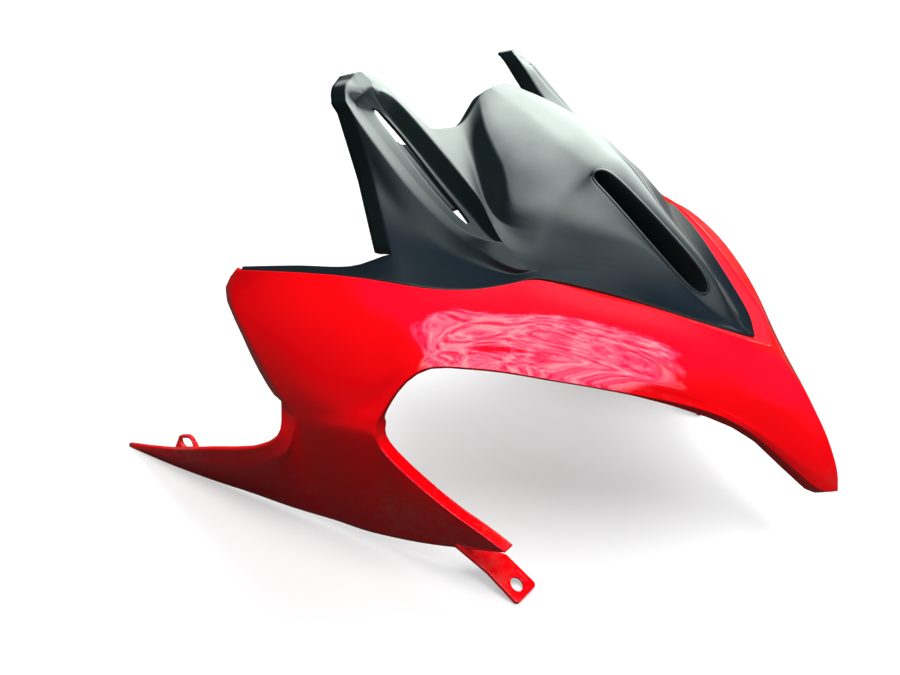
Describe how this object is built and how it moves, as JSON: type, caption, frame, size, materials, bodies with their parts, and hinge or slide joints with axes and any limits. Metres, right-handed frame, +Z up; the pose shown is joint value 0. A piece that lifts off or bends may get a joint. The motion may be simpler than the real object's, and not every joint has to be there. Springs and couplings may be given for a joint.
{
  "type": "motorcycle fairing",
  "caption": "Motorcycle nose fairing: glossy red cowl with swept side arms and fixing tabs, and a black screen panel with air vents and upright slotted blades.",
  "frame": {"origin": "centre of the bounding box in plan, on the plane that the tabs and the arm tips stand on", "axes": "+X forward towards the nose, +Y to the rider's left, +Z up"},
  "size_m": [0.502, 0.4144, 0.3035],
  "materials": {
    "red_gloss": "gloss",
    "black_grain": "fine grain",
    "black_rail": "matte"
  },
  "bodies": {
    "root": {"nose_cowl": "red_gloss", "screen_panel": "black_grain", "slot_rail_left": "black_rail", "slot_rail_right": "black_rail"}
  },
  "joints": []
}
